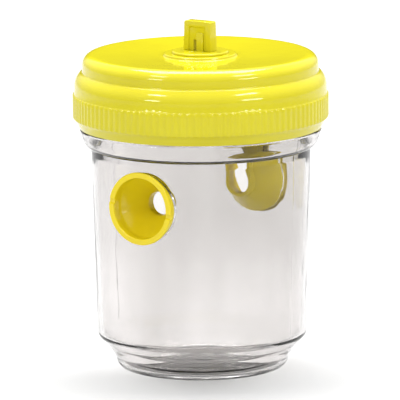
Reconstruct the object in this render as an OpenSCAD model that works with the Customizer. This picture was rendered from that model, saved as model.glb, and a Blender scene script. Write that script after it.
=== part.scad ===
// Hanging wasp trap: a clear jar, a screw lid with a swivel hanger, and two entry funnels.
// The origin is the middle of the base on the surface it stands on, +Z is up,
// and the front funnel faces -Y.

/* [Jar body] */
// Outer radius of the body just below its shoulder
body_r = 48.1; // [40:0.1:60]
// Height of the body, from the surface it stands on to the start of its shoulder
body_h = 98; // [94:0.5:130]
// How much narrower the body is above its foot than below its shoulder
body_draft = 2.15; // [0.5:0.05:4]
// Thickness of the moulded wall below its shoulder
wall_t = 1.8; // [1.4:0.1:2.4]
// How much thicker the wall is at its foot
wall_taper = 0.5; // [0:0.1:0.8]

/* [Jar foot] */
// Height of the stepped foot
foot_h = 16.8; // [13:0.1:24]
// How far the foot's edge lies inside the body
foot_inset = 8.25; // [6:0.05:12]
// How far the foot widens between its edge and the step
foot_flare = 3.3; // [1:0.1:5]
// Rounding of the foot's edge
foot_edge_r = 4.8; // [3:0.1:6]
// Rounding where the step meets the body
step_edge_r = 4; // [2.5:0.1:6]
// Width of the flat ring that the jar stands on
ring_w = 4; // [2:0.5:10]
// Depth of the recess inside that ring
recess_h = 1; // [0.5:0.1:2]

/* [Jar shoulder and neck] */
// Height of the shoulder
shoulder_h = 8.4; // [7:0.1:12]
// How far the shoulder's rim lies outside the body
shoulder_out = 4.8; // [4.2:0.1:7]
// How far the shoulder's rim leans out above its rounded lower edge
shoulder_lean = 1.2; // [0.4:0.1:2]
// Rounding of the shoulder's lower edge
shoulder_edge_r = 4.9; // [4.4:0.1:6]
// How far the neck lies outside the body
neck_out = 2.3; // [1.8:0.1:3]
// Height of the neck above the shoulder
neck_h = 21; // [19:0.5:30]
// Thickness of the neck
neck_t = 1.8; // [1.4:0.1:2.4]
// Height over which the inside widens from body to neck
throat_h = 7.4; // [6:0.1:9]
// How far below the shoulder that widening starts
throat_drop = 3; // [2:0.1:4]

/* [Screw thread] */
// Rise of the lid for each turn
thread_pitch = 6; // [5:0.1:8]
// Turns of each thread
thread_turns = 1.5; // [1:0.25:1.75]
// Height of the thread's ridge above the wall it stands on
thread_depth = 1.5; // [1.2:0.05:1.8]
// Width of the ridge at its root
thread_root_w = 2.5; // [2:0.1:2.8]
// Width of the ridge at its crest
thread_crest_w = 1.2; // [0.8:0.1:1.6]
// Clearance between one thread's crest and the other's root
thread_gap = 0.5; // [0.3:0.05:0.8]

/* [Lid] */
// Thickness of the lid
lid_t = 1.6; // [1.2:0.1:2.4]
// Gap between the lid's rim and the jar's shoulder
rim_gap = 0.5; // [0.3:0.1:1.5]
// Height of the tapered rim below the grip
rim_h = 4; // [3:0.1:6]
// How much narrower the rim is at its lower edge
rim_taper = 2.1; // [1:0.1:2.2]
// Height of the grip's band
grip_h = 11.1; // [8:0.1:12]
// How far the grip's ribs stand out
grip_rib = 0.7; // [0.5:0.05:1]
// How far the band stands out between its ribs
grip_band = 0.35; // [0.1:0.05:0.45]
// Number of ribs round the grip
grip_count = 110; // [60:2:180]
// Height of the crown above the lid's inner ledge
crown_h = 10.35; // [9:0.05:14]
// How far the crown dips towards its middle
crown_dish = 1.2; // [0:0.1:1.6]
// How far the crown lies inside the skirt
crown_inset = 3.55; // [3:0.05:4.5]
// Rounding of the skirt's upper edge
skirt_edge_r = 7.7; // [6:0.1:9]
// How far below the inner ledge that rounding starts
skirt_edge_drop = 3.6; // [3:0.1:5]
// Rounding of the crown's upper edge
crown_edge_r = 4.6; // [3:0.1:6]
// Radius of the raised boss in the middle
boss_r = 15.7; // [14:0.1:20]
// Height of the boss above the crown
boss_h = 1.3; // [0.8:0.1:2]

/* [Sealing washer] */
// Thickness of the washer
washer_t = 1.4; // [1:0.1:2]
// Clearance round the washer
washer_gap = 0.4; // [0.2:0.1:0.8]

/* [Hanger] */
// Radius of the hanger's disc
disc_r = 12.3; // [10:0.1:15]
// Thickness of the hanger's disc
disc_t = 1.1; // [0.8:0.1:2]
// Width of the tab at its top
tab_w = 13.3; // [12:0.1:18]
// How much wider the tab is at its foot
tab_spread = 0.8; // [0:0.1:2]
// Height of the tab above the disc
tab_h = 13.1; // [11:0.1:20]
// Thickness of the tab at its frame
tab_t = 5; // [4:0.1:6]
// Width of the frame round the tab's thinner web
frame_w = 2.5; // [2:0.1:3]
// Depth of the recess on each side of the web
web_recess = 0.5; // [0.4:0.1:1.3]
// Width of the window in the web
window_w = 5; // [4.8:0.1:5.4]
// How far the window stands to the right of the middle
window_shift = 0.4; // [0:0.1:0.6]
// Height of the window in the web
window_h = 4.9; // [4.2:0.1:7]
// Width of the strap in front of the window, which leaves a slot for a cord beside it
strap_w = 3.5; // [3:0.1:3.6]
// Height of the strap
strap_h = 8; // [7:0.1:9.5]
// Thickness of the strap
strap_t = 0.8; // [0.7:0.1:1.4]
// How far the strap stands to the right of the middle
strap_shift = 1.25; // [1.2:0.05:1.5]
// Turn of the tab away from the front
tab_turn = 1; // [0:1:90]
// Radius of the stem through the lid
stem_r = 4.5; // [3.5:0.1:6]
// Clearance round the stem
stem_gap = 0.08; // [0.02:0.01:0.1]
// Length of the stem below the lid's inside
stem_h = 3.4; // [3:0.1:6]

/* [Hanger clip] */
// Thickness of the clip
clip_t = 1.2; // [0.8:0.1:1.6]
// Outer radius of the clip
clip_r = 7.4; // [6.8:0.1:9]
// Depth of the stem's groove
groove_depth = 0.9; // [0.6:0.1:1.2]
// Play of the clip in the groove and under the lid
clip_gap = 0.1; // [0.05:0.01:0.2]
// Width of the clip's mouth
clip_mouth = 5.4; // [4:0.1:6]

/* [Entry funnels] */
// Height of the funnels' axis
funnel_z = 77.5; // [60:0.5:79]
// Outer radius of a funnel's barrel, which plugs into the wall
barrel_r = 15.2; // [12:0.1:18]
// Clearance round the barrel
barrel_gap = 0.1; // [0.05:0.01:0.3]
// How far the collar stands out from the barrel
collar_out = 0.8; // [0.6:0.1:3]
// Thickness of the collar
collar_t = 1.1; // [0.8:0.1:4]
// Gap between the collar and the wall
collar_gap = 0.1; // [0.05:0.05:0.5]
// Width of the flat lip inside the barrel's outer edge
lip_w = 1.8; // [1.4:0.1:2.5]
// Length of the barrel behind the collar
barrel_l = 4.8; // [4:0.1:8]
// Length of the cone behind the barrel
cone_l = 10; // [8:0.1:14]
// Length of the narrow tube at the funnel's end
tube_l = 3.3; // [1:0.1:5]
// Radius of the hole that the insect comes through
entry_r = 5.2; // [4:0.1:6.5]
// Thickness of the funnel's wall
funnel_t = 1.6; // [1.2:0.1:1.8]
// Width of the two notches in the collar
notch_w = 2.2; // [1:0.1:3]
// Depth of the two notches in the collar
notch_depth = 0.9; // [0.5:0.1:1.5]
// Turn of the notches away from the level
notch_turn = 9; // [0:1:90]

/* [Hidden] */

clear_plastic = [0.86, 0.88, 0.88, 0.45];
yellow_plastic = [0.93, 0.86, 0.1];
funnel_yellow = [0.95, 0.8, 0.05];
washer_grey = [0.75, 0.75, 0.72];
clip_white = [0.88, 0.88, 0.84];

round_fn = 180;
small_fn = 64;
thread_steps = 48;
thread_sink = 0.6;
thread_start = 4;
mouth_round = 0.5;
strap_bite = 0.3;

// Jar, worked out from the inside of its foot upwards.
foot_top_r = body_r - body_draft;
foot_r = foot_top_r - foot_inset;
step_z = foot_h - step_edge_r * sin(45);
waist_z = step_z - (foot_inset - foot_flare - step_edge_r * (1 - cos(45)));
shoulder_z = body_h + shoulder_h;
shoulder_r = body_r + shoulder_out;
neck_r = body_r + neck_out;
neck_in_r = neck_r - neck_t;
mouth_z = shoulder_z + neck_h;
foot_wall_t = wall_t + wall_taper;
function body_radius(z) = foot_top_r + body_draft * (z - foot_h) / (body_h - foot_h);

// Lid, worked out from the jar's neck and mouth.
thread_crest_r = neck_r + thread_depth;
skirt_in_r = thread_crest_r + thread_gap + thread_depth - 0.35;
skirt_r = skirt_in_r + lid_t + 0.15;
rim_z = shoulder_z + rim_gap;
grip_z = rim_z + rim_h;
ledge_z = mouth_z + washer_t;
crown_z = ledge_z + crown_h;
crown_r = skirt_r - crown_inset;
crown_in_r = crown_r - lid_t;
middle_z = crown_z - crown_dish;
ceiling_z = middle_z - lid_t;
boss_z = middle_z + boss_h;

// Hanger and clip, worked out from the boss and the ceiling.
disc_z = boss_z + disc_t;
clip_z = ceiling_z - clip_gap - clip_t;
groove_r = stem_r - groove_depth;

// Funnels, measured outwards from the jar's axis.
collar_r = barrel_r + collar_out;
collar_u = body_radius(funnel_z + collar_r) + collar_gap;
face_u = collar_u + collar_t;
barrel_u = collar_u - barrel_l;
cone_u = barrel_u - cone_l;
tube_u = cone_u - tube_l;
tube_r = entry_r + funnel_t;

function arc(r, z, radius, from, to, steps) =
    [for (i = [0:steps]) let (a = from + (to - from) * i / steps)
        [r + radius * cos(a), z + radius * sin(a)]];

// A helical ridge whose section runs from the radius root to the radius crest.
// It starts at the angle start and the height z, and both its ends fade into the root.
module ridge(root, crest, z, start) {
    steps = round(thread_turns * thread_steps);
    fade_steps = thread_steps / 8;
    span = crest - root;
    function height(i) = max(0.08, min(1, min(i, steps - i) / fade_steps));
    function section(i) = [
        [root, -thread_root_w / 2],
        [root + span * height(i), -thread_crest_w / 2],
        [root + span * height(i), thread_crest_w / 2],
        [root, thread_root_w / 2]];
    points = [for (i = [0:steps], p = section(i))
        let (a = start + 360 * i / thread_steps)
        [p[0] * cos(a), p[0] * sin(a), z + p[1] + thread_pitch * i / thread_steps]];
    sides = [for (i = [0:steps - 1], j = [0:3]) let (k = (j + 1) % 4)
        each [[4 * i + j, 4 * i + 4 + j, 4 * i + 4 + k], [4 * i + j, 4 * i + 4 + k, 4 * i + k]]];
    ends = [[0, 1, 2], [0, 2, 3],
        [4 * steps, 4 * steps + 2, 4 * steps + 1], [4 * steps, 4 * steps + 3, 4 * steps + 2]];
    faces = concat(sides, ends);
    polyhedron(points, span < 0 ? faces : [for (f = faces) [f[2], f[1], f[0]]], convexity = 6);
}

module jar_shell() {
    edge_r = foot_r - foot_edge_r;
    corner_r = shoulder_r - shoulder_lean - shoulder_edge_r;
    shoulder_start = acos((body_r - corner_r) / shoulder_edge_r);
    corner_z = body_h + shoulder_edge_r * sin(shoulder_start);
    throat_z = body_h - throat_drop;
    outside = concat(
        [[0, recess_h], [edge_r - ring_w - recess_h, recess_h], [edge_r - ring_w, 0]],
        arc(edge_r, foot_edge_r, foot_edge_r, -90, -10, 8),
        [[foot_r + foot_flare, waist_z]],
        arc(foot_top_r - step_edge_r, foot_h, step_edge_r, -45, 0, 6),
        arc(corner_r, corner_z, shoulder_edge_r, -shoulder_start, -10, 8),
        [[shoulder_r, shoulder_z - 0.4], [shoulder_r - 0.4, shoulder_z], [neck_r, shoulder_z]],
        arc(neck_r - mouth_round, mouth_z - mouth_round, mouth_round, 0, 90, 4));
    inside = concat(
        arc(neck_in_r + mouth_round, mouth_z - mouth_round, mouth_round, 90, 180, 4),
        [[neck_in_r, throat_z + throat_h], [body_radius(throat_z) - wall_t, throat_z]],
        arc(foot_top_r - step_edge_r, foot_h, step_edge_r - foot_wall_t, 0, -45, 4),
        [[foot_r + foot_flare - foot_wall_t * cos(27), waist_z + foot_wall_t * sin(27)]],
        arc(edge_r, foot_edge_r, foot_edge_r - foot_wall_t, -10, -90, 5),
        [[edge_r - ring_w, foot_wall_t],
         [edge_r - ring_w - recess_h, foot_wall_t + recess_h], [0, foot_wall_t + recess_h]]);
    rotate_extrude($fn = round_fn) polygon(concat(outside, inside));
}

module jar() {
    color(clear_plastic) difference() {
        union() {
            jar_shell();
            ridge(neck_r - thread_sink, thread_crest_r, rim_z + rim_h + thread_root_w / 2, thread_start);
        }
        for (side = [0, 180])
            rotate([90, 0, side]) translate([0, funnel_z, cone_u])
                cylinder(r = barrel_r + barrel_gap, h = face_u - cone_u, $fn = small_fn);
    }
}

module lid_shell() {
    rim_r = skirt_r - rim_taper;
    arc_z = ledge_z - skirt_edge_drop;
    arc_end = acos((crown_r + 0.3 - skirt_r + skirt_edge_r) / skirt_edge_r);
    outside = concat(
        [[rim_r, rim_z], [skirt_r - 0.4, grip_z - 0.4], [skirt_r, grip_z]],
        arc(skirt_r - skirt_edge_r, arc_z, skirt_edge_r, 0, arc_end, 8),
        arc(crown_r - crown_edge_r, crown_z - crown_edge_r, crown_edge_r, 0, 90, 8),
        [[boss_r + 0.8, middle_z], [boss_r + 0.2, middle_z + 0.3]],
        arc(boss_r - 0.4, boss_z - 0.4, 0.4, 0, 90, 3),
        [[stem_r + stem_gap, boss_z], [stem_r + stem_gap, ceiling_z]]);
    inside = concat(
        [[boss_r, ceiling_z]],
        arc(crown_in_r - crown_edge_r + lid_t, crown_z - crown_edge_r,
            crown_edge_r - lid_t, 90, 0, 6),
        [[crown_in_r, ledge_z], [skirt_in_r - 1, ledge_z], [skirt_in_r, ledge_z - 1.4],
         [skirt_in_r, rim_z + 2.6], [rim_r - 0.9, rim_z]]);
    rotate_extrude($fn = round_fn) polygon(concat(outside, inside));
}

module grip() {
    tooth = 360 / grip_count;
    section = [[-0.34, grip_band], [-0.14, grip_rib], [0.14, grip_rib], [0.34, grip_band]];
    outline = [for (i = [0:grip_count - 1], p = section)
        let (r = skirt_r + p[1], a = tooth * (i + p[0]))
        [r * cos(a), r * sin(a)]];
    translate([0, 0, grip_z]) linear_extrude(grip_h) difference() {
        polygon(outline);
        circle(r = skirt_r - lid_t / 2, $fn = round_fn);
    }
}

module lid() {
    color(yellow_plastic) {
        lid_shell();
        grip();
        ridge(skirt_in_r + thread_sink, thread_crest_r - thread_depth + thread_gap,
            rim_z + rim_h + thread_root_w / 2 + thread_pitch / 2, thread_start);
    }
}

module sealing_washer() {
    color(washer_grey) translate([0, 0, mouth_z]) difference() {
        cylinder(r = skirt_in_r - 1 - washer_gap, h = washer_t, $fn = round_fn);
        translate([0, 0, -1]) cylinder(r = neck_in_r, h = washer_t + 2, $fn = round_fn);
    }
}

module tab_outline(inset, top) {
    half_top = tab_w / 2 - inset;
    half_foot = half_top + tab_spread / 2;
    corner = 0.8;
    polygon(concat(
        [[-half_foot, 0], [half_foot, 0]],
        arc(half_top - corner, top - corner, corner, 0, 90, 4),
        arc(corner - half_top, top - corner, corner, 90, 180, 4)));
}

module tab() {
    web_t = tab_t - 2 * web_recess;
    rotate([90, 0, 0]) difference() {
        translate([0, 0, -tab_t / 2]) linear_extrude(tab_t) tab_outline(0, tab_h);
        for (side = [-1, 1])
            translate([0, 0, side * (tab_t - web_recess) / 2])
                linear_extrude(web_recess + 0.001, center = true)
                    tab_outline(frame_w, tab_h - frame_w);
        translate([window_shift - window_w / 2, 0, -tab_t]) cube([window_w, window_h, 2 * tab_t]);
    }
    translate([strap_shift - strap_w / 2, -web_t / 2 + strap_bite - strap_t, 0])
        cube([strap_w, strap_t, strap_h]);
}

module hanger() {
    color(yellow_plastic) rotate([0, 0, tab_turn]) {
        rotate_extrude($fn = round_fn) polygon(concat(
            [[0, ceiling_z - stem_h], [stem_r - 0.5, ceiling_z - stem_h],
             [stem_r, ceiling_z - stem_h + 0.5],
             [stem_r, clip_z - clip_gap], [groove_r, clip_z - clip_gap],
             [groove_r, ceiling_z - clip_gap / 2], [stem_r, ceiling_z - clip_gap / 2],
             [stem_r, boss_z]],
            [[disc_r, boss_z]],
            arc(disc_r - 0.5, disc_z - 0.5, 0.5, 0, 90, 4),
            [[0, disc_z]]));
        translate([0, 0, disc_z - 0.01]) tab();
    }
}

module hanger_clip() {
    color(clip_white) rotate([0, 0, tab_turn]) translate([0, 0, clip_z]) difference() {
        cylinder(r = clip_r, h = clip_t, $fn = small_fn);
        translate([0, 0, -1]) cylinder(r = groove_r + 0.05, h = clip_t + 2, $fn = small_fn);
        translate([-clip_mouth / 2, 0, -1]) cube([clip_mouth, 2 * clip_r, clip_t + 2]);
    }
}

// A funnel along +Z, with its height measured from the jar's axis.
module entry_funnel() {
    edge = collar_t * 0.45;
    lip_r = barrel_r - lip_w;
    throat_u = barrel_u + funnel_t * 0.8;
    difference() {
        rotate_extrude($fn = round_fn) polygon(concat(
            [[entry_r, tube_u], [tube_r, tube_u], [tube_r, cone_u],
             [barrel_r, barrel_u], [barrel_r, collar_u], [collar_r, collar_u]],
            arc(collar_r - edge, face_u - edge, edge, 0, 90, 4),
            arc(lip_r + edge, face_u - edge, edge, 90, 180, 4),
            [[lip_r - 0.1, throat_u], [entry_r, cone_u + funnel_t * 0.5]]));
        for (side = [0, 180])
            rotate([0, 0, side - notch_turn])
                translate([lip_r - 0.5, -notch_w / 2, face_u - notch_depth])
                    cube([lip_w + collar_out + 1, notch_w, collar_t]);
    }
}

module funnel_front() {
    color(funnel_yellow) translate([0, 0, funnel_z]) rotate([90, 0, 0]) entry_funnel();
}

module funnel_rear() {
    color(funnel_yellow) translate([0, 0, funnel_z]) rotate([90, 0, 180]) entry_funnel();
}

jar();
lid();
sealing_washer();
hanger();
hanger_clip();
funnel_front();
funnel_rear();
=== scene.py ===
from math import acos, cos, degrees, pi, radians, sin

import bmesh
import bpy
from bpy.props import FloatProperty, FloatVectorProperty, IntProperty, PointerProperty
from bpy.types import Operator, Panel, PropertyGroup
from mathutils import Matrix, Vector


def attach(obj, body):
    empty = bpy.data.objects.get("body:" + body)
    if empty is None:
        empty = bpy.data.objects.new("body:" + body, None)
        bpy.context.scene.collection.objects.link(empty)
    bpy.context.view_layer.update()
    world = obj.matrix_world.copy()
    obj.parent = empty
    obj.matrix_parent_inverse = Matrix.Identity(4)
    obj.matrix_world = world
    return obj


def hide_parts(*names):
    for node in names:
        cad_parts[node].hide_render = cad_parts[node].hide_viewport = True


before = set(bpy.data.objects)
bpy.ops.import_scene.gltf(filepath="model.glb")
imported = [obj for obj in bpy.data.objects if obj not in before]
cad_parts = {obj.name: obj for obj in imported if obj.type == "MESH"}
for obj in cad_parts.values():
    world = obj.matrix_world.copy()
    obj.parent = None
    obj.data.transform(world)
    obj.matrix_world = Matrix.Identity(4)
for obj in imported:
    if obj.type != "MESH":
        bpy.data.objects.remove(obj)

bl_info = {
    "name": "Wasp Trap",
    "version": (1, 0, 0),
    "blender": (4, 5, 0),
    "location": "View3D > Sidebar > Wasp Trap",
    "description": "Builds a hanging wasp trap with a clear jar, a screw lid and two entry funnels",
    "category": "Mesh",
}

MM = 0.001


def length(name, mm, description):
    """A length setting, given in millimetres and kept in metres."""
    return FloatProperty(name=name, description=description, default=mm * MM, min=0.0,
                         precision=5, unit="LENGTH", subtype="DISTANCE")


def turn(name, degrees_, description):
    """An angle setting, given in degrees."""
    return FloatProperty(name=name, description=description, default=radians(degrees_),
                         unit="ROTATION", subtype="ANGLE")


def factor(name, value, description, top=1.0):
    """A plain number setting."""
    return FloatProperty(name=name, description=description, default=value, min=0.0, max=top,
                         precision=4, subtype="FACTOR")


def tint(name, value, description):
    """A colour setting."""
    return FloatVectorProperty(name=name, description=description, default=value, size=3,
                               min=0.0, max=1.0, subtype="COLOR")


# ---------------------------------------------------------------- settings

class JarSettings(PropertyGroup):
    body_r: length("Body radius", 48.1, "Outer radius just below the shoulder")
    body_h: length("Body height", 98, "Height from the ground to the start of the shoulder")
    draft: length("Draft", 2.15, "How much narrower the body is above its foot")
    wall: length("Wall", 1.8, "Wall thickness below the shoulder")
    foot_wall: length("Foot wall", 2.3, "Wall thickness at the foot")
    foot_h: length("Foot height", 16.8, "Height of the stepped foot")
    foot_inset: length("Foot inset", 8.25, "How far the foot's edge lies inside the body")
    foot_flare: length("Foot flare", 3.3, "How far the foot widens up to its step")
    foot_edge: length("Foot edge", 4.8, "Rounding of the foot's edge")
    step_edge: length("Step edge", 4, "Rounding where the step meets the body")
    ring_w: length("Ring width", 4, "Width of the ring that the jar stands on")
    recess: length("Recess", 1, "Depth of the recess inside that ring")
    shoulder_h: length("Shoulder height", 8.4, "Height of the shoulder")
    shoulder_out: length("Shoulder reach", 4.8, "How far the shoulder lies outside the body")
    shoulder_lean: length("Shoulder lean", 1.2, "How far the shoulder's rim leans out")
    shoulder_edge: length("Shoulder edge", 4.9, "Rounding of the shoulder's lower edge")
    neck_out: length("Neck reach", 2.3, "How far the neck lies outside the body")
    neck_h: length("Neck height", 21, "Height of the neck above the shoulder")
    neck_wall: length("Neck wall", 1.8, "Thickness of the neck")
    throat_h: length("Throat height", 7.4, "Height over which the inside widens to the neck")
    throat_drop: length("Throat drop", 3, "How far below the shoulder that widening starts")
    seam: length("Seam", 0.09, "Height of the mould's parting line")
    columns: IntProperty(name="Columns", description="Columns of faces round the jar",
                         default=360, min=24)
    bend: FloatProperty(name="Refraction", description="Refractive index of the clear plastic",
                        default=1.3, min=1.0, max=2.0)
    lamp_pass: factor("Lamp pass", 0.985, "Share of the lamps' light that each surface lets through")
    clear: tint("Clear plastic", (0.86, 0.844, 0.838), "Tint of the clear plastic")
    # The murk tint does two jobs: random cloudiness in the plastic, and painted shade that darkens
    # the body towards the top, under the lid
    murk_and_shade: tint("Murk", (0.69, 0.675, 0.663), "Tint where the plastic is cloudier")


class ThreadSettings(PropertyGroup):
    pitch: length("Pitch", 6, "Rise for each turn")
    turns: FloatProperty(name="Turns", description="Turns of each thread", default=1.5, min=0.5)
    depth: length("Depth", 1.5, "Height of the ridge")
    root_w: length("Root width", 2.5, "Width of the ridge at its root")
    crest_w: length("Crest width", 1.2, "Width of the ridge at its crest")
    gap: length("Gap", 0.5, "Clearance between one crest and the other root")
    start: turn("Start", 4, "Angle at which the threads start")


class LidSettings(PropertyGroup):
    wall: length("Wall", 1.6, "Thickness of the lid")
    rim_gap: length("Rim gap", 0.5, "Gap between the rim and the jar's shoulder")
    rim_h: length("Rim height", 4, "Height of the tapered rim below the grip")
    rim_taper: length("Rim taper", 2.1, "How much narrower the rim is at its lower edge")
    grip_h: length("Grip height", 11.1, "Height of the ribbed band")
    grip_rib: length("Rib height", 0.7, "How far the ribs stand out")
    grip_band: length("Band height", 0.35, "How far the band stands out between its ribs")
    grip_count: IntProperty(name="Ribs", description="Number of ribs round the grip",
                            default=110, min=12)
    crown_h: length("Crown height", 10.35, "Height of the crown above the inner ledge")
    crown_dish: length("Crown dish", 1.2, "How far the crown dips towards its middle")
    crown_inset: length("Crown inset", 3.55, "How far the crown lies inside the skirt")
    crown_edge: length("Crown edge", 4.6, "Rounding of the crown's upper edge")
    skirt_edge: length("Skirt edge", 7.7, "Rounding of the skirt's upper edge")
    skirt_drop: length("Skirt drop", 3.6, "How far below the ledge that rounding starts")
    boss_r: length("Boss radius", 15.7, "Radius of the raised boss")
    boss_h: length("Boss height", 1.3, "Height of the boss")
    yellow: tint("Yellow", (0.52, 0.465, 0.006), "Colour of the lid and the hanger")
    deep: tint("Deep yellow", (0.485, 0.425, 0.005), "Colour where the yellow is deeper")


class WasherSettings(PropertyGroup):
    thickness: length("Thickness", 1.4, "Thickness of the sealing washer")
    gap: length("Gap", 0.4, "Clearance round the washer")
    grey: tint("Grey", (0.5, 0.5, 0.47), "Colour of the foam")


class HangerSettings(PropertyGroup):
    disc_r: length("Disc radius", 12.3, "Radius of the disc")
    disc_t: length("Disc thickness", 1.1, "Thickness of the disc")
    tab_w: length("Tab width", 13.3, "Width of the tab at its top")
    tab_spread: length("Tab spread", 0.8, "How much wider the tab is at its foot")
    tab_h: length("Tab height", 13.1, "Height of the tab above the disc")
    tab_t: length("Tab thickness", 5, "Thickness of the tab's frame")
    frame_w: length("Frame width", 2.5, "Width of the frame round the web")
    recess: length("Recess", 0.5, "Depth of the recess on each side of the web")
    window_w: length("Window width", 5, "Width of the window")
    window_shift: length("Window shift", 0.4, "How far the window stands off the middle")
    window_h: length("Window height", 4.9, "Height of the window")
    strap_w: length("Strap width", 3.5, "Width of the strap in front of the window")
    strap_h: length("Strap height", 8, "Height of the strap")
    strap_t: length("Strap thickness", 0.8, "Thickness of the strap")
    strap_shift: length("Strap shift", 1.25, "How far the strap stands off the middle")
    strap_bite: length("Strap bite", 0.3, "How far the strap is sunk into the web")
    tab_turn: turn("Turn", 1, "Turn of the tab away from the front")
    stem_r: length("Stem radius", 4.5, "Radius of the stem through the lid")
    stem_gap: length("Stem gap", 0.08, "Clearance round the stem")
    stem_h: length("Stem length", 3.4, "Length of the stem below the lid's inside")
    clip_t: length("Clip thickness", 1.2, "Thickness of the clip")
    clip_r: length("Clip radius", 7.4, "Outer radius of the clip")
    groove: length("Groove depth", 0.9, "Depth of the stem's groove")
    clip_gap: length("Clip gap", 0.1, "Play of the clip")
    clip_mouth: length("Clip mouth", 5.4, "Width of the clip's mouth")
    white: tint("White", (0.72, 0.72, 0.66), "Colour of the clip")


class FunnelSettings(PropertyGroup):
    height: length("Axis height", 77.5, "Height of the funnels' axis")
    barrel_r: length("Barrel radius", 15.2, "Outer radius of the barrel")
    barrel_gap: length("Barrel gap", 0.1, "Clearance round the barrel")
    collar_out: length("Collar reach", 0.8, "How far the collar stands out from the barrel")
    collar_t: length("Collar thickness", 1.1, "Thickness of the collar")
    collar_gap: length("Collar gap", 0.1, "Gap between the collar and the wall")
    lip_w: length("Lip width", 1.8, "Width of the flat lip")
    barrel_l: length("Barrel length", 4.8, "Length of the barrel behind the collar")
    cone_l: length("Cone length", 10, "Length of the cone")
    tube_l: length("Tube length", 3.3, "Length of the narrow tube")
    entry_r: length("Entry radius", 5.2, "Radius of the entry hole")
    wall: length("Wall", 1.6, "Thickness of the funnel's wall")
    notch_w: length("Notch width", 2.2, "Width of the two notches")
    notch_depth: length("Notch depth", 0.9, "Depth of the two notches")
    notch_turn: turn("Notch turn", 9, "Turn of the notches away from the level")
    yellow: tint("Yellow", (0.66, 0.535, 0.008), "Colour of the funnels")
    deep: tint("Deep yellow", (0.6, 0.46, 0.007), "Colour where the yellow is deeper")


class StageSettings(PropertyGroup):
    azimuth: turn("Azimuth", 33.2, "Where the camera stands, from the front towards the right")
    elevation: turn("Elevation", 10.2, "How far the camera looks down")
    roll: turn("Roll", -0.45, "Roll of the camera")
    distance: length("Distance", 4000, "Distance of the camera")
    across: length("Across", 175.2, "Width of the view at the trap")
    aim_z: length("Aim height", 73.9, "Height that the camera looks at")
    shift: FloatProperty(name="Shift", description="How far the aim lies to the right",
                         default=-0.0006, precision=5, unit="LENGTH")
    ambient: factor("Ambient", 1.15, "Brightness of the surroundings overhead", 10.0)
    horizon: factor("Horizon", 0.7, "Brightness of the surroundings at the horizon", 10.0)
    behind: factor("Behind", 0.07, "Share of that brightness left behind the trap")
    key: factor("Key", 30.0, "Brightness of the soft boxes", 200.0)
    lamp_distance: length("Lamp distance", 4000, "Distance of the soft boxes")
    floor: tint("Floor", (0.46, 0.46, 0.46), "Colour of the floor")
    floor_half: length("Floor half width", 6000, "Half the width of the square floor")
    middle_z: length("Lit height", 120, "Height that the soft boxes are aimed at")


GROUPS = {
    "jar": JarSettings, "thread": ThreadSettings, "lid": LidSettings, "washer": WasherSettings,
    "hanger": HangerSettings, "funnel": FunnelSettings, "stage": StageSettings,
}


class WaspTrapSettings(PropertyGroup):
    jar: PointerProperty(type=JarSettings, name="Jar", description="Sizes of the jar")
    thread: PointerProperty(type=ThreadSettings, name="Thread", description="Sizes of the thread")
    lid: PointerProperty(type=LidSettings, name="Lid", description="Sizes of the lid")
    washer: PointerProperty(type=WasherSettings, name="Washer", description="Sizes of the washer")
    hanger: PointerProperty(type=HangerSettings, name="Hanger", description="Sizes of the hanger")
    funnel: PointerProperty(type=FunnelSettings, name="Funnels", description="Sizes of the funnels")
    stage: PointerProperty(type=StageSettings, name="Stage", description="Camera and lights")


class Layout:
    """The radii and heights that more than one piece needs, worked out from the settings."""

    def __init__(self, context):
        s = context.scene.wasp_trap
        j, t, l, h, f = s.jar, s.thread, s.lid, s.hanger, s.funnel
        self.foot_top_r = j.body_r - j.draft
        self.foot_r = self.foot_top_r - j.foot_inset
        slope = j.step_edge * (1 - cos(pi / 4))
        self.step_z = j.foot_h - j.step_edge * sin(pi / 4)
        self.waist_z = self.step_z - (j.foot_inset - j.foot_flare - slope)
        self.shoulder_z = j.body_h + j.shoulder_h
        self.shoulder_r = j.body_r + j.shoulder_out
        self.neck_r = j.body_r + j.neck_out
        self.neck_in_r = self.neck_r - j.neck_wall
        self.mouth_z = self.shoulder_z + j.neck_h
        self.crest_r = self.neck_r + t.depth
        self.skirt_in_r = self.crest_r + t.gap + t.depth - 0.35 * MM
        self.skirt_r = self.skirt_in_r + l.wall + 0.15 * MM
        self.rim_z = self.shoulder_z + l.rim_gap
        self.grip_z = self.rim_z + l.rim_h
        self.thread_z = self.grip_z + t.root_w / 2
        self.ledge_z = self.mouth_z + s.washer.thickness
        self.crown_z = self.ledge_z + l.crown_h
        self.crown_r = self.skirt_r - l.crown_inset
        self.crown_in_r = self.crown_r - l.wall
        self.middle_z = self.crown_z - l.crown_dish
        self.ceiling_z = self.middle_z - l.wall
        self.boss_z = self.middle_z + l.boss_h
        self.disc_z = self.boss_z + h.disc_t
        self.clip_z = self.ceiling_z - h.clip_gap - h.clip_t
        self.groove_r = h.stem_r - h.groove
        self.collar_r = f.barrel_r + f.collar_out
        self.lip_r = f.barrel_r - f.lip_w
        self.collar_u = self.body_radius(j, f.height + self.collar_r) + f.collar_gap
        self.face_u = self.collar_u + f.collar_t
        self.barrel_u = self.collar_u - f.barrel_l
        self.cone_u = self.barrel_u - f.cone_l
        self.tube_u = self.cone_u - f.tube_l
        self.tube_r = f.entry_r + f.wall

    def body_radius(self, jar, z):
        """Outer radius of the body at a height."""
        return self.foot_top_r + jar.draft * (z - jar.foot_h) / (jar.body_h - jar.foot_h)


# ---------------------------------------------------------------- shapes

def arc(r, z, radius, start, end, steps=10):
    """Points on an arc in the plane of radius and height, from one angle to another."""
    angles = [radians(start + (end - start) * i / steps) for i in range(steps + 1)]
    return [(r + radius * cos(a), z + radius * sin(a)) for a in angles]


def line(start, end, steps):
    """Points on a straight line, without its last point."""
    return [(start[0] + (end[0] - start[0]) * i / steps, start[1] + (end[1] - start[1]) * i / steps)
            for i in range(steps)]


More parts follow.
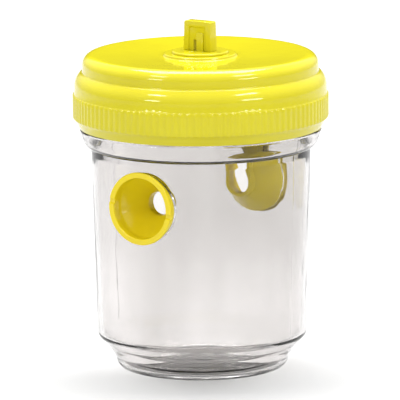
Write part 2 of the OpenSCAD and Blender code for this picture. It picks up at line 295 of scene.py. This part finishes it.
def smooth(value, low=0.0, high=1.0):
    """An S-shaped rise from 0 at low to 1 at high."""
    x = min(1.0, max(0.0, (value - low) / (high - low)))
    return x * x * (3 - 2 * x)


def round_angles(count, extra=()):
    """Angles all the way round, with some extra ones."""
    even = {round(2 * pi * i / count, 9) for i in range(count)}
    return sorted(even | {round(a, 9) for a in extra})


def mesh_object(name, shape, sharp=32.0):
    """Puts a bmesh into the scene as a smooth object with sharp edges above an angle."""
    mesh = bpy.data.meshes.new(name)
    shape.to_mesh(mesh)
    shape.free()
    piece = bpy.data.objects.new(name, mesh)
    bpy.context.scene.collection.objects.link(piece)
    shade(piece, sharp)
    return piece


def shade(piece, sharp=32.0):
    """Smooth shading with sharp edges above an angle in degrees."""
    piece.data.shade_smooth()
    piece.data.set_sharp_from_angle(angle=radians(sharp))


def turned(name, profile, angles, shape=None, sharp=32.0):
    """A closed skin turned about +Z from a closed profile of (radius, height) points."""
    mesh = bmesh.new()
    rings = []
    for a in angles:
        points = [shape(r, z, a) for r, z in profile] if shape else profile
        rings.append([mesh.verts.new((r * cos(a), r * sin(a), z)) for r, z in points])
    count = len(profile)
    for ring, after in zip(rings, rings[1:] + rings[:1]):
        for j in range(count):
            k = (j + 1) % count
            if max(profile[j][0], profile[k][0]) > 1e-7:
                mesh.faces.new((ring[j], after[j], after[k], ring[k]))
    bmesh.ops.remove_doubles(mesh, verts=mesh.verts, dist=1e-7)
    bmesh.ops.recalc_face_normals(mesh, faces=mesh.faces)
    return mesh_object(name, mesh, sharp)


def prism(name, outline, low, high):
    """A solid between two heights with the given outline."""
    mesh = bmesh.new()
    base = [mesh.verts.new((x, y, low)) for x, y in outline]
    top = [mesh.verts.new((x, y, high)) for x, y in outline]
    mesh.faces.new(base[::-1])
    mesh.faces.new(top)
    for i in range(len(outline)):
        k = (i + 1) % len(outline)
        mesh.faces.new((base[i], base[k], top[k], top[i]))
    bmesh.ops.recalc_face_normals(mesh, faces=mesh.faces)
    return mesh_object(name, mesh)


def block(name, low, high):
    """A box between two corners, as a prism."""
    outline = [(low[0], low[1]), (high[0], low[1]), (high[0], high[1]), (low[0], high[1])]
    return prism(name, outline, low[2], high[2])


def bake(piece, sharp=32.0):
    """Replaces a piece's mesh with the result of its modifiers."""
    bpy.context.view_layer.update()
    graph = bpy.context.evaluated_depsgraph_get()
    mesh = bpy.data.meshes.new_from_object(piece.evaluated_get(graph))
    old = piece.data
    piece.modifiers.clear()
    piece.data = mesh
    bpy.data.meshes.remove(old)
    mesh.name = piece.name
    shade(piece, sharp)


def remove(piece):
    """Takes an object and its mesh out of the file."""
    mesh = piece.data
    bpy.data.objects.remove(piece)
    bpy.data.meshes.remove(mesh)


def combine(piece, tool, operation, sharp=32.0):
    """Cuts a tool out of a piece, or joins it on."""
    step = piece.modifiers.new(operation.title(), "BOOLEAN")
    step.operation = operation
    step.solver = "EXACT"
    step.object = tool
    bake(piece, sharp)
    remove(tool)


def bevel(piece, width, segments=3, sharp=50.0):
    """Rounds a piece's edges."""
    step = piece.modifiers.new("Bevel", "BEVEL")
    step.width = width
    step.segments = segments
    step.limit_method = "ANGLE"
    step.angle_limit = radians(35)
    step.harden_normals = False
    bake(piece, sharp)


def join(piece, other):
    """Adds another object's mesh to a piece."""
    mesh = bmesh.new()
    mesh.from_mesh(piece.data)
    mesh.from_mesh(other.data)
    mesh.to_mesh(piece.data)
    mesh.free()
    remove(other)


def place(piece, matrix):
    """Moves a piece's vertices, so that its object stays at the origin."""
    piece.data.transform(matrix)
    piece.data.update()


def ridge_height(thread, z, angle, low_z):
    """How high a helical ridge stands at a height and an angle, from 0 to 1."""
    best = 0.0
    begin = ((angle - thread.start) % (2 * pi)) / (2 * pi)
    for turns in (begin, begin + 1):
        if turns <= thread.turns:
            off = abs(z - low_z - thread.pitch * turns)
            flank = 1 - smooth(off, thread.crest_w / 2, thread.root_w / 2)
            fade = smooth(min(turns, thread.turns - turns), 0.0, 0.12)
            best = max(best, flank * fade)
    return best


# ---------------------------------------------------------------- materials

class Finish:
    """A material's node tree, with short ways to add nodes to it."""

    def __init__(self, name):
        self.material = bpy.data.materials.new(name)
        self.material.use_nodes = True
        self.tree = self.material.node_tree
        self.shader = self.tree.nodes["Principled BSDF"]
        self.output = self.tree.nodes["Material Output"]
        self.place = self.node("ShaderNodeTexCoord").outputs["Object"]

    def node(self, kind, values=(), **settings):
        """Adds a node, sets its settings, and sets or links its inputs."""
        node = self.tree.nodes.new(kind)
        for key, value in settings.items():
            setattr(node, key, value)
        for key, value in dict(values).items():
            if isinstance(value, bpy.types.NodeSocket):
                self.tree.links.new(value, node.inputs[key])
            else:
                node.inputs[key].default_value = value
        return node

    def noise(self, scale, stretch=(1, 1, 1), detail=3.0):
        """Noise over the object, from about 0.3 to 0.7."""
        place = self.node("ShaderNodeMapping", {"Vector": self.place, "Scale": stretch})
        return self.node("ShaderNodeTexNoise", {
            "Vector": place.outputs["Vector"], "Scale": scale, "Detail": detail,
        }).outputs["Fac"]

    def spread(self, source, low, high):
        """Spreads a noise's range over two values."""
        return self.node("ShaderNodeMapRange", {
            "Value": source, "From Min": 0.3, "From Max": 0.7, "To Min": low, "To Max": high,
        }).outputs["Result"]

    def blend(self, source, first, second):
        """A colour between two others."""
        mix = self.node("ShaderNodeMix", data_type="RGBA")
        self.tree.links.new(self.spread(source, 0, 1), mix.inputs[0])
        mix.inputs[6].default_value = (*first, 1)
        mix.inputs[7].default_value = (*second, 1)
        return mix.outputs[2]

    def bump(self, *layers):
        """Bumps laid over one another, each a source and its height in metres."""
        normal = None
        for source, height in layers:
            node = self.node("ShaderNodeBump", {
                "Height": source, "Distance": height, "Strength": 1.0})
            if normal:
                self.tree.links.new(normal, node.inputs["Normal"])
            normal = node.outputs["Normal"]
        self.link("Normal", normal)

    def link(self, name, source):
        """Links a source to the shader."""
        self.tree.links.new(source, self.shader.inputs[name])

    def set(self, **values):
        """Sets the shader's uniform values."""
        for name, value in values.items():
            self.shader.inputs[name.replace("_", " ")].default_value = value


def clear_plastic(jar):
    """Clear moulded plastic with faint flow lines, ripple and small scuffs, its tint cloudier at
    random and darker towards the top with painted shade.
    """
    f = Finish("clear_plastic")
    height = f.node("ShaderNodeSeparateXYZ", {0: f.place}).outputs["Z"]
    # Painted shade: this ramp pushes the tint towards the murk tint higher up the body, so the jar
    # is darker towards the top, as in the shade of the lid
    painted_top_shade = f.node("ShaderNodeMapRange", {
        "Value": height, "From Min": 0.36 * jar.body_h, "From Max": 0.62 * jar.body_h,
        "To Min": -0.1, "To Max": 0.1})
    # Random cloudiness plus the painted shade by height
    cloud_and_shade = f.node("ShaderNodeMath", {0: f.noise(22, (1, 1, 0.25)), 1: painted_top_shade.outputs["Result"]},
                   operation="ADD")
    f.link("Base Color", f.blend(cloud_and_shade.outputs[0], jar.clear, jar.murk_and_shade))
    f.link("Roughness", f.spread(f.noise(900, (1, 1, 0.12), 5.0), 0.012, 0.05))
    f.bump((f.noise(38, (1, 1, 0.35)), 0.00035), (f.noise(420, (1, 1, 0.06)), 0.000006))
    f.set(Metallic=0.0, IOR=jar.bend)
    f.shader.inputs["Transmission Weight"].default_value = 1.0
    lamp = f.node("ShaderNodeLightPath").outputs["Is Shadow Ray"]
    passed = (jar.lamp_pass, jar.lamp_pass, jar.lamp_pass, 1)
    open_ = f.node("ShaderNodeBsdfTransparent", {"Color": passed})
    mix = f.node("ShaderNodeMixShader", {0: lamp, 1: f.shader.outputs[0], 2: open_.outputs[0]})
    f.tree.links.new(mix.outputs[0], f.output.inputs["Surface"])
    return f.material


def yellow_plastic(name, bright, deep, rough=(0.07, 0.12)):
    """Glossy opaque plastic with slight colour variation, orange peel and fine scuffs."""
    f = Finish(name)
    f.link("Base Color", f.blend(f.noise(32), bright, deep))
    f.link("Roughness", f.spread(f.noise(700, (1, 1, 0.5), 6.0), *rough))
    f.bump((f.noise(150), 0.00005), (f.noise(1600, detail=2.0), 0.000004))
    f.set(Metallic=0.0, IOR=1.5)
    f.shader.inputs["Specular IOR Level"].default_value = 0.42
    return f.material


def washer_foam(washer):
    """Closed-cell foam: small bubbles and blotches."""
    f = Finish("washer_foam")
    dark = tuple(0.8 * c for c in washer.grey)
    f.link("Base Color", f.blend(f.noise(260), washer.grey, dark))
    f.link("Roughness", f.spread(f.noise(300), 0.75, 0.95))
    f.bump((f.noise(1100, detail=4.0), 0.00008))
    return f.material


def clip_plastic(hanger):
    """Natural white plastic, satin, with faint moulding marks."""
    f = Finish("clip_white")
    warm = tuple(0.9 * c for c in hanger.white)
    f.link("Base Color", f.blend(f.noise(180), hanger.white, warm))
    f.link("Roughness", f.spread(f.noise(500), 0.35, 0.5))
    f.bump((f.noise(900), 0.00001))
    return f.material


def floor_paper(stage):
    """Pale matt paper."""
    f = Finish("floor_paper")
    dim = tuple(0.985 * c for c in stage.floor)
    f.link("Base Color", f.blend(f.noise(6), stage.floor, dim))
    f.link("Roughness", f.spread(f.noise(40), 0.85, 0.95))
    f.bump((f.noise(500), 0.00001))
    f.shader.inputs["Specular IOR Level"].default_value = 0.0
    return f.material


def dress(piece, node, body, material):
    """Gives a piece its material, and sets it in the place of a CAD node."""
    piece.data.materials.clear()
    piece.data.materials.append(material)
    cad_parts[node].data.materials.clear()
    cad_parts[node].data.materials.append(material)
    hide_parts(node)
    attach(piece, body)


# ---------------------------------------------------------------- operators

class WASPTRAP_OT_jar(Operator):
    """Build the clear jar with its stepped foot, threaded neck and two holes"""
    bl_idname = "wasp_trap.jar"
    bl_label = "Build Jar"
    bl_options = {"REGISTER", "UNDO"}

    def execute(self, context):
        s, at = context.scene.wasp_trap, Layout(context)
        j = s.jar
        edge_r = at.foot_r - j.foot_edge
        corner_r = at.shoulder_r - j.shoulder_lean - j.shoulder_edge
        begin = acos((j.body_r - corner_r) / j.shoulder_edge)
        corner_z = j.body_h + j.shoulder_edge * sin(begin)
        throat_z = j.body_h - j.throat_drop
        low_r = at.body_radius(j, throat_z) - j.wall
        gate_z = j.recess - 0.45 * MM
        outside = (
            [(0, gate_z), (1.9 * MM, gate_z), (2.3 * MM, j.recess)]
            + line((6 * MM, j.recess), (edge_r - j.ring_w - j.recess, j.recess), 4)
            + arc(edge_r - j.ring_w - j.recess, 0, j.recess, 90, 0, 5)
            + arc(edge_r, j.foot_edge, j.foot_edge, -90, -10, 16)
            + line((at.foot_r + j.foot_flare * 0.1, j.foot_edge * 1.15),
                   (at.foot_r + j.foot_flare, at.waist_z), 4)
            + arc(at.foot_r + j.foot_flare + 0.5 * MM, at.waist_z, 0.5 * MM, 180, 135, 3)
            + arc(at.foot_top_r - j.step_edge, j.foot_h, j.step_edge, -45, 0, 12)
            + line((at.body_radius(j, 20 * MM), 20 * MM), (j.body_r, j.body_h), 18)
            + arc(corner_r, corner_z, j.shoulder_edge, -degrees(begin), -10, 16)
            + arc(at.shoulder_r - 0.7 * MM, at.shoulder_z - 0.7 * MM, 0.7 * MM, 0, 90, 5)
            + [(at.neck_r + 0.8 * MM, at.shoulder_z), (at.neck_r, at.shoulder_z + 0.8 * MM)]
            + line((at.neck_r, at.thread_z - 2 * MM), (at.neck_r, at.mouth_z - 2 * MM), 56)
            + arc(at.neck_r - 0.6 * MM, at.mouth_z - 0.6 * MM, 0.6 * MM, 0, 90, 5))
        top, low = (at.neck_in_r, throat_z + j.throat_h), (low_r, throat_z)
        throat = [(top[0], top[1] + 0.4 * MM), *line(top, low, 16)[1:]]
        throat.append((low_r, throat_z - 0.3 * MM))
        inner_edge = j.foot_edge - j.foot_wall
        inside = (
            arc(at.neck_in_r + 0.6 * MM, at.mouth_z - 0.6 * MM, 0.6 * MM, 90, 180, 5)
            + line((at.neck_in_r, at.mouth_z - 2 * MM), throat[0], 4)
            + throat
            + line(throat[-1], (at.foot_top_r - j.foot_wall, j.foot_h), 18)[1:]
            + arc(at.foot_top_r - j.step_edge, j.foot_h, j.step_edge - j.foot_wall, 0, -45, 8)
            + arc(at.foot_r + j.foot_flare - j.foot_wall * cos(radians(27)) + 0.2 * MM,
                  at.waist_z + j.foot_wall * sin(radians(27)), 0.2 * MM, 135, 180, 2)
            + arc(edge_r, j.foot_edge, inner_edge, -10, -90, 10)
            + [(edge_r - j.ring_w, j.foot_wall)]
            + [(edge_r - j.ring_w - j.recess, j.foot_wall + j.recess)]
            + line((edge_r - j.ring_w - 3 * MM, j.foot_wall + j.recess),
                   (0, j.foot_wall + j.recess), 4)
            + [(0, j.foot_wall + j.recess)])
        seams = (0.0, pi)
        near = [side + offset for side in seams for offset in (-0.009, -0.004, 0.004, 0.009)]
        angles = round_angles(j.columns, [a % (2 * pi) for a in near])

        def shape(r, z, a):
            """The thread's ridge round the neck, and the mould's parting lines."""
            if abs(r - at.neck_r) < 0.05 * MM and z > at.shoulder_z + MM:
                return r + s.thread.depth * ridge_height(s.thread, z, a, at.thread_z), z
            off = min(abs(a - side) for side in (0.0, pi, 2 * pi))
            on_wall = at.waist_z < z < at.shoulder_z - MM and r > at.body_radius(j, z) - 0.3 * MM
            if on_wall and off < 0.006:
                return r + j.seam * (1 - off / 0.006), z
            return r, z

        piece = turned("jar_skin", outside + inside, angles, shape)
        hole_r = s.funnel.barrel_r + s.funnel.barrel_gap
        near_u, far_u = 30 * MM, 60 * MM
        for side in (1, -1):
            profile = [(0, near_u), (hole_r, near_u), (hole_r, far_u), (0, far_u)]
            tool = turned("hole", profile, round_angles(128))
            lift = Matrix.Translation((0, 0, s.funnel.height))
            place(tool, lift @ Matrix.Rotation(side * pi / 2, 4, "X"))
            combine(piece, tool, "DIFFERENCE")
        dress(piece, "jar", "jar", clear_plastic(j))
        return {"FINISHED"}


class WASPTRAP_OT_lid(Operator):
    """Build the screw lid with its ribbed grip, crown and boss"""
    bl_idname = "wasp_trap.lid"
    bl_label = "Build Lid"
    bl_options = {"REGISTER", "UNDO"}

    def execute(self, context):
        s, at = context.scene.wasp_trap, Layout(context)
        l, t, h = s.lid, s.thread, s.hanger
        rim_r = at.skirt_r - l.rim_taper
        arc_z = at.ledge_z - l.skirt_drop
        end = degrees(acos((at.crown_r + 0.3 * MM - at.skirt_r + l.skirt_edge) / l.skirt_edge))
        grip_top = at.grip_z + l.grip_h
        valley = arc(at.skirt_r - l.skirt_edge, arc_z, l.skirt_edge, 0, end - 4, 18)
        hole_r = h.stem_r + h.stem_gap
        outside = (
            arc(rim_r - 0.3 * MM, at.rim_z + 0.3 * MM, 0.3 * MM, -90, 0, 3)
            + line((rim_r + 0.2 * MM, at.rim_z + 0.7 * MM),
                   (at.skirt_r - 0.4 * MM, at.grip_z - 0.4 * MM), 4)
            + [(at.skirt_r - 0.15 * MM, at.grip_z - 0.1 * MM)]
            + line((at.skirt_r, at.grip_z + 0.05 * MM), (at.skirt_r, at.grip_z + 0.7 * MM), 4)
            + line((at.skirt_r, at.grip_z + 0.8 * MM), (at.skirt_r, grip_top - 0.8 * MM), 6)
            + line((at.skirt_r, grip_top - 0.7 * MM), (at.skirt_r, grip_top), 4)
            + [(at.skirt_r, grip_top + 0.05 * MM)]
            + valley
            + arc(at.crown_r + 0.45 * MM, valley[-1][1] + 0.55 * MM, 0.45 * MM, 235, 180, 3)
            + arc(at.crown_r - l.crown_edge, at.crown_z - l.crown_edge, l.crown_edge, 0, 86, 18)
            + line((at.crown_r - l.crown_edge - 0.8 * MM, at.crown_z - 0.01 * MM),
                   (l.boss_r + 1.4 * MM, at.middle_z), 14)
            + arc(l.boss_r + 1.1 * MM, at.middle_z + 0.9 * MM, 0.9 * MM, 270, 180, 5)
            + arc(l.boss_r - 0.4 * MM, at.boss_z - 0.4 * MM, 0.4 * MM, 0, 90, 5)
            + line((l.boss_r - MM, at.boss_z), (hole_r, at.boss_z), 4)
            + [(hole_r, at.boss_z), (hole_r, at.ceiling_z)])
        in_edge = l.crown_edge - l.wall
        inside = (
            line((hole_r + MM, at.ceiling_z), (l.boss_r, at.ceiling_z), 3)
            + line((l.boss_r, at.ceiling_z), (at.crown_in_r - in_edge, at.crown_z - l.wall), 6)
            + arc(at.crown_in_r - in_edge, at.crown_z - l.crown_edge, in_edge, 90, 0, 8)
            + [(at.crown_in_r, at.ledge_z), (at.skirt_in_r - MM, at.ledge_z),
               (at.skirt_in_r, at.ledge_z - 1.4 * MM)]
            + line((at.skirt_in_r, at.ledge_z - 2 * MM), (at.skirt_in_r, at.rim_z + 2.6 * MM), 60)
            + [(at.skirt_in_r, at.rim_z + 2.6 * MM), (rim_r - 0.9 * MM, at.rim_z + 0.1 * MM),
               (rim_r - 0.8 * MM, at.rim_z)])
        crest_r = at.crest_r - t.depth + t.gap
        low_z = at.thread_z + t.pitch / 2

        def shape(r, z, a):
            """The ribs of the grip outside, and the thread's ridge inside."""
            if abs(r - at.skirt_r) < 0.02 * MM and at.grip_z - 0.05 * MM < z < grip_top + 0.02 * MM:
                wave = smooth(0.5 + 0.5 * cos(l.grip_count * a), 0.0, 1.0)
                ends = smooth(min(z - at.grip_z, grip_top - z), 0, 0.7 * MM)
                return r + (l.grip_band + (l.grip_rib - l.grip_band) * wave) * ends, z
            if abs(r - at.skirt_in_r) < 0.02 * MM and z < at.ledge_z - 1.5 * MM:
                return r - (at.skirt_in_r - crest_r) * ridge_height(t, z, a, low_z), z
            return r, z

        piece = turned("lid_skin", outside + inside, round_angles(l.grip_count * 8), shape, 40)
        lid_yellow = yellow_plastic("lid_yellow", l.yellow, l.deep)
        dress(piece, "lid", "lid", lid_yellow)
        return {"FINISHED"}


class WASPTRAP_OT_washer(Operator):
    """Build the sealing washer"""
    bl_idname = "wasp_trap.washer"
    bl_label = "Build Washer"
    bl_options = {"REGISTER", "UNDO"}

    def execute(self, context):
        s, at = context.scene.wasp_trap, Layout(context)
        edge, low, high = 0.25 * MM, at.mouth_z, at.mouth_z + s.washer.thickness
        outer, inner = at.skirt_in_r - MM - s.washer.gap, at.neck_in_r
        profile = (arc(outer - edge, low + edge, edge, -90, 0, 4)
                   + arc(outer - edge, high - edge, edge, 0, 90, 4)
                   + arc(inner + edge, high - edge, edge, 90, 180, 4)
                   + arc(inner + edge, low + edge, edge, 180, 270, 4))
        piece = turned("washer_ring", profile, round_angles(240), sharp=60)
        dress(piece, "sealing_washer", "washer", washer_foam(s.washer))
        return {"FINISHED"}


def tab_outline(h, inset, top):
    """Outline of the tab, or of the recess in it, with its foot at zero."""
    half_top = h.tab_w / 2 - inset
    half_foot = half_top + h.tab_spread / 2
    corner = 0.8 * MM
    return ([(-half_foot, 0), (half_foot, 0)]
            + arc(half_top - corner, top - corner, corner, 0, 90, 5)
            + arc(corner - half_top, top - corner, corner, 90, 180, 5))


class WASPTRAP_OT_hanger(Operator):
    """Build the swivel hanger with its disc, stem, tab and strap"""
    bl_idname = "wasp_trap.hanger"
    bl_label = "Build Hanger"
    bl_options = {"REGISTER", "UNDO"}

    def execute(self, context):
        s, at = context.scene.wasp_trap, Layout(context)
        h = s.hanger
        low = at.ceiling_z - h.stem_h
        groove_low, groove_top = at.clip_z - h.clip_gap, at.ceiling_z - h.clip_gap / 2
        piece = turned("hanger_body", (
            [(0, low)] + arc(h.stem_r - 0.6 * MM, low + 0.6 * MM, 0.6 * MM, -90, 0, 5)
            + [(h.stem_r, groove_low), (at.groove_r, groove_low), (at.groove_r, groove_top),
               (h.stem_r, groove_top), (h.stem_r, at.boss_z)]
            + arc(h.disc_r - 0.15 * MM, at.boss_z + 0.15 * MM, 0.15 * MM, -90, 0, 2)
            + arc(h.disc_r - 0.5 * MM, at.disc_z - 0.5 * MM, 0.5 * MM, 0, 90, 6)
            + line((h.disc_r - 1.2 * MM, at.disc_z), (0, at.disc_z), 4)
            + [(0, at.disc_z)]), round_angles(180))
        web = h.tab_t - 2 * h.recess
        tab = prism("tab", tab_outline(h, 0, h.tab_h), -h.tab_t / 2, h.tab_t / 2)
        for side in (-1, 1):
            face = sorted((side * web / 2, side * (h.tab_t / 2 + MM)))
            pocket = prism("pocket", [(x, y if y else -MM) for x, y in
                           tab_outline(h, h.frame_w, h.tab_h - h.frame_w)], *face)
            combine(tab, pocket, "DIFFERENCE")
        left, right = h.window_shift - h.window_w / 2, h.window_shift + h.window_w / 2
        window = block("window", (left, -MM, -h.tab_t), (right, h.window_h, h.tab_t))
        combine(tab, window, "DIFFERENCE")
        bevel(tab, 0.22 * MM)
        back = web / 2 - h.strap_bite
        strap = block("strap", (h.strap_shift - h.strap_w / 2, -0.2 * MM, back),
                      (h.strap_shift + h.strap_w / 2, h.strap_h, back + h.strap_t))
        bevel(strap, 0.28 * MM)
        join(tab, strap)
        lift = Matrix.Translation((0, 0, at.disc_z - 0.01 * MM))
        place(tab, lift @ Matrix.Rotation(pi / 2, 4, "X"))
        join(piece, tab)
        place(piece, Matrix.Rotation(h.tab_turn, 4, "Z"))
        shade(piece, 50)
        yellow = yellow_plastic("hanger_yellow", s.lid.yellow, s.lid.deep, (0.12, 0.2))
        dress(piece, "hanger", "hanger", yellow)
        return {"FINISHED"}


class WASPTRAP_OT_clip(Operator):
    """Build the clip that holds the hanger's stem"""
    bl_idname = "wasp_trap.clip"
    bl_label = "Build Clip"
    bl_options = {"REGISTER", "UNDO"}

    def execute(self, context):
        s, at = context.scene.wasp_trap, Layout(context)
        h = s.hanger
        inner = at.groove_r + 0.05 * MM
        half = h.clip_mouth / 2
        out_end = degrees(acos(half / h.clip_r))
        in_end = degrees(acos(half / inner))
        outline = (arc(0, 0, h.clip_r, 180 - out_end, 360 + out_end, 72)
                   + arc(0, 0, inner, 360 + in_end, 180 - in_end, 48))
        piece = prism("clip_ring", outline, at.clip_z, at.clip_z + h.clip_t)
        bevel(piece, 0.18 * MM)
        place(piece, Matrix.Rotation(h.tab_turn, 4, "Z"))
        dress(piece, "hanger_clip", "hanger", clip_plastic(h))
        return {"FINISHED"}


class WASPTRAP_OT_funnels(Operator):
    """Build the two entry funnels"""
    bl_idname = "wasp_trap.funnels"
    bl_label = "Build Funnels"
    bl_options = {"REGISTER", "UNDO"}

    def execute(self, context):
        s, at = context.scene.wasp_trap, Layout(context)
        f = s.funnel
        edge = f.collar_t * 0.45
        throat_u = at.barrel_u + f.wall * 0.8
        inner_low = at.cone_u + f.wall * 0.5
        profile = (
            arc(f.entry_r + 0.4 * MM, at.tube_u + 0.4 * MM, 0.4 * MM, 180, 270, 4)
            + arc(at.tube_r - 0.4 * MM, at.tube_u + 0.4 * MM, 0.4 * MM, -90, 0, 4)
            + line((at.tube_r, at.tube_u + MM), (at.tube_r, at.cone_u), 3)
            + line((at.tube_r, at.cone_u), (f.barrel_r, at.barrel_u), 10)
            + line((f.barrel_r, at.barrel_u), (f.barrel_r, at.collar_u), 6)
            + [(f.barrel_r, at.collar_u)]
            + arc(at.collar_r - 0.15 * MM, at.collar_u + 0.15 * MM, 0.15 * MM, -90, 0, 2)
            + arc(at.collar_r - edge, at.face_u - edge, edge, 0, 90, 7)
            + line((at.collar_r - edge - 0.1 * MM, at.face_u),
                   (at.lip_r + edge + 0.1 * MM, at.face_u), 8)
            + arc(at.lip_r + edge, at.face_u - edge, edge, 90, 180, 7)
            + line((at.lip_r, at.face_u - edge - 0.1 * MM),
                   (at.lip_r - 0.1 * MM, throat_u + 0.5 * MM), 5)
            + line((at.lip_r - 0.15 * MM, throat_u + 0.2 * MM),
                   (f.entry_r + 0.5 * MM, inner_low + 0.5 * MM), 14)
            + [(f.entry_r + 0.12 * MM, inner_low)]
            + line((f.entry_r, inner_low - 0.3 * MM), (f.entry_r, at.tube_u + 0.5 * MM), 4))

        def shape(r, u, a):
            """The two notches across the lip."""
            off = abs(r * sin(a + f.notch_turn))
            flank = smooth(off, f.notch_w / 2 - 0.25 * MM, f.notch_w / 2)
            floor = at.face_u - f.notch_depth * (1 - flank)
            return (r, min(u, floor)) if r > at.lip_r - 0.05 * MM else (r, u)

        yellow = yellow_plastic("funnel_yellow", f.yellow, f.deep, (0.1, 0.18))
        for name, side in (("front", 1), ("rear", -1)):
            piece = turned(name + "_funnel_skin", profile, round_angles(480), shape, 40)
            turn_to = Matrix.Rotation(pi / 2, 4, "X")
            if side < 0:
                turn_to = Matrix.Rotation(pi, 4, "Z") @ turn_to
            place(piece, Matrix.Translation((0, 0, f.height)) @ turn_to)
            dress(piece, "funnel_" + name, "funnel_" + name, yellow)
        return {"FINISHED"}


def direction(azimuth, elevation):
    """The direction from the trap to a place at an azimuth and an elevation."""
    return Vector((sin(azimuth) * cos(elevation), -cos(azimuth) * cos(elevation), sin(elevation)))


def studio_world(st):
    """Soft surroundings, brighter overhead, and dark low down behind the trap."""
    world = bpy.data.worlds.new("studio")
    world.use_nodes = True
    tree = world.node_tree

    def ramp(source, low, high, first, last):
        """A smooth change between two values."""
        node = tree.nodes.new("ShaderNodeMapRange")
        node.interpolation_type = "SMOOTHSTEP"
        tree.links.new(source, node.inputs["Value"])
        for name, value in (
                ("From Min", low), ("From Max", high), ("To Min", first), ("To Max", last)):
            node.inputs[name].default_value = value
        return node.outputs["Result"]

    place = tree.nodes.new("ShaderNodeTexCoord").outputs["Generated"]
    split = tree.nodes.new("ShaderNodeSeparateXYZ")
    tree.links.new(place, split.inputs[0])
    dot = tree.nodes.new("ShaderNodeVectorMath")
    dot.operation = "DOT_PRODUCT"
    dot.inputs[1].default_value = direction(st.azimuth + pi, st.elevation)
    tree.links.new(place, dot.inputs[0])
    product = tree.nodes.new("ShaderNodeMath")
    product.operation = "MULTIPLY"
    tree.links.new(ramp(split.outputs["Z"], 0.0, 0.55, st.horizon, st.ambient), product.inputs[0])
    tree.links.new(ramp(dot.outputs["Value"], 0.93, 0.988, 1.0, st.behind), product.inputs[1])
    background = tree.nodes["Background"]
    background.inputs["Color"].default_value = (1, 1, 1, 1)
    tree.links.new(product.outputs[0], background.inputs["Strength"])
    return world


class WASPTRAP_OT_stage(Operator):
    """Build the floor, the lights and the camera"""
    bl_idname = "wasp_trap.stage"
    bl_label = "Build Stage"
    bl_options = {"REGISTER", "UNDO"}

    def execute(self, context):
        st = context.scene.wasp_trap.stage
        scene = context.scene
        mesh = bmesh.new()
        bmesh.ops.create_grid(mesh, x_segments=24, y_segments=24, size=st.floor_half)
        floor = mesh_object("floor", mesh)
        floor.data.materials.append(floor_paper(st))

        scene.world = studio_world(st)
        middle = Vector((0, 0, st.middle_z))
        boxes = (
            ("left_high", -50, 46, 14, 5, 0.9), ("left_low", -45, 12, 14, 3.5, 0.9),
            ("right_high", 54, 48, 18, 5, 0.9), ("right_low", 48, 13, 18, 3.5, 0.9),
            ("top", 180, 72, 50, 34, 0.38))
        for name, azimuth, elevation, wide, high, share in boxes:
            light = bpy.data.lights.new(name, "AREA")
            light.shape = "RECTANGLE"
            light.size = st.lamp_distance * radians(wide)
            light.size_y = st.lamp_distance * radians(high)
            light.energy = st.key * share * light.size * light.size_y * pi
            lamp = bpy.data.objects.new(name, light)
            towards = direction(st.azimuth + radians(azimuth), radians(elevation))
            lamp.location = middle + st.lamp_distance * towards
            lamp.rotation_euler = towards.to_track_quat("Z", "Y").to_euler()
            scene.collection.objects.link(lamp)

        back = direction(st.azimuth, st.elevation)
        right = Vector((cos(st.azimuth), sin(st.azimuth), 0))
        turned_to = Matrix((right, back.cross(right), back)).transposed().to_quaternion()
        camera = bpy.data.cameras.new("camera")
        camera.sensor_width = 36
        camera.lens = 36 * st.distance / st.across
        camera.clip_end = 100
        eye = bpy.data.objects.new("camera", camera)
        eye.rotation_mode = "QUATERNION"
        eye.rotation_quaternion = turned_to @ Matrix.Rotation(st.roll, 3, "Z").to_quaternion()
        eye.location = Vector((0, 0, st.aim_z)) + right * st.shift + back * st.distance
        scene.collection.objects.link(eye)
        scene.camera = eye
        scene.view_settings.view_transform = "Standard"
        return {"FINISHED"}


class WASPTRAP_PT_panel(Panel):
    """The trap's settings and the buttons that build its pieces"""
    bl_idname = "WASPTRAP_PT_panel"
    bl_label = "Wasp Trap"
    bl_space_type = "VIEW_3D"
    bl_region_type = "UI"
    bl_category = "Wasp Trap"

    def draw(self, context):
        settings = context.scene.wasp_trap
        for operator in OPERATORS:
            self.layout.operator(operator.bl_idname)
        for name, group in GROUPS.items():
            box = self.layout.box()
            box.label(text=name.title())
            for key in group.__annotations__:
                box.prop(getattr(settings, name), key)


OPERATORS = (
    WASPTRAP_OT_jar, WASPTRAP_OT_lid, WASPTRAP_OT_washer, WASPTRAP_OT_hanger, WASPTRAP_OT_clip,
    WASPTRAP_OT_funnels, WASPTRAP_OT_stage,
)
CLASSES = (*GROUPS.values(), WaspTrapSettings, *OPERATORS, WASPTRAP_PT_panel)


def register():
    for cls in CLASSES:
        bpy.utils.register_class(cls)
    bpy.types.Scene.wasp_trap = PointerProperty(type=WaspTrapSettings)


def unregister():
    del bpy.types.Scene.wasp_trap
    for cls in reversed(CLASSES):
        bpy.utils.unregister_class(cls)


def main():
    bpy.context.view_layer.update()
    register()
    bpy.ops.wasp_trap.jar()
    bpy.ops.wasp_trap.lid()
    bpy.ops.wasp_trap.washer()
    bpy.ops.wasp_trap.hanger()
    bpy.ops.wasp_trap.clip()
    bpy.ops.wasp_trap.funnels()
    bpy.ops.wasp_trap.stage()
    bpy.context.view_layer.update()


if __name__ == "__main__":
    main()
